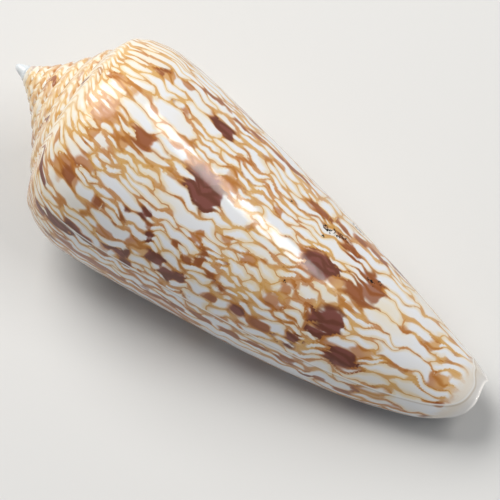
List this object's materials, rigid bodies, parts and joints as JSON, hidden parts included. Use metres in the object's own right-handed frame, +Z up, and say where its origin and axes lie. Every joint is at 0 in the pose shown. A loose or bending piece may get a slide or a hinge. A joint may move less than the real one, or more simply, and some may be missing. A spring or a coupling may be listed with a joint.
{
  "type": "cone shell",
  "caption": "Sea snail shell: a slim cone with a pointed concave spire, a rounded shoulder and a long narrow aperture, lying on its lip; golden net markings with dark blotches.",
  "frame": {"origin": "under the middle of the shell's box, on the surface that it lies on", "axes": "+Z up; +X towards the apex; the shell lies on its lip and the shoulder of its last whorl, with its aperture down on the -Y side"},
  "size_m": [0.059, 0.0238, 0.0217],
  "materials": {
    "shell": "polished natural shell: glossy white to cream ground under a net of fine golden-ochre lines, with orange-brown and chestnut blotches"
  },
  "bodies": {
    "root": {"shell": "shell"}
  },
  "joints": []
}
